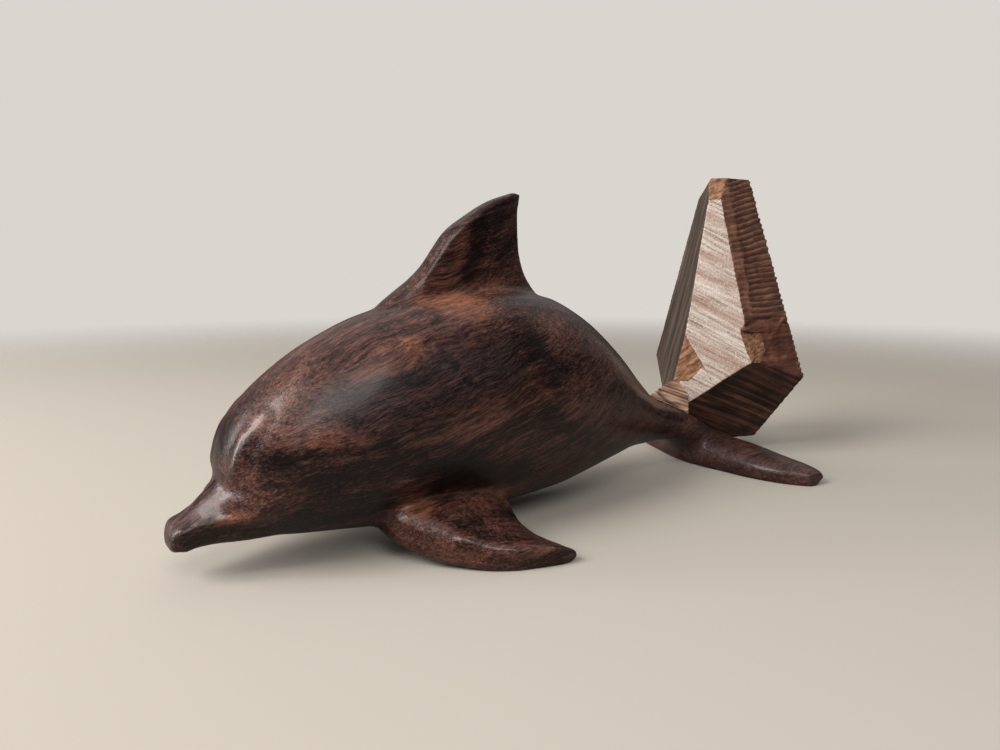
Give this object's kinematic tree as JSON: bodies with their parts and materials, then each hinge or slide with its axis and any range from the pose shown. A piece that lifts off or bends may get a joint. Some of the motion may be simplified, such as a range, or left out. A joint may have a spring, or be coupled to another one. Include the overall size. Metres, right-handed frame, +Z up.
{
  "type": "dolphin figurine",
  "caption": "Carved hardwood dolphin lying on its flippers and flukes, with a short beak, a swept dorsal fin and a tall rough-sawn block left standing at the tail.",
  "frame": {"origin": "on the surface it rests on, under the middle of the whole figurine", "axes": "+X towards the tail, -X towards the beak, -Y towards the dolphin's left side, +Z up"},
  "size_m": [0.2168, 0.09, 0.1021],
  "materials": {
    "body_wood": "oiled satin, dark figured hardwood",
    "dorsal_fin_wood": "oiled satin, dark figured hardwood",
    "left_pectoral_fin_wood": "oiled satin, dark figured hardwood",
    "right_pectoral_fin_wood": "oiled satin, dark figured hardwood",
    "tail_flukes_wood": "oiled satin, dark figured hardwood",
    "tail_block_wood": "rough-sawn, unoiled on its pale front face"
  },
  "bodies": {
    "root": {"body": "body_wood", "dorsal_fin": "dorsal_fin_wood", "left_pectoral_fin": "left_pectoral_fin_wood", "right_pectoral_fin": "right_pectoral_fin_wood", "tail_flukes": "tail_flukes_wood", "tail_block": "tail_block_wood"}
  },
  "joints": []
}
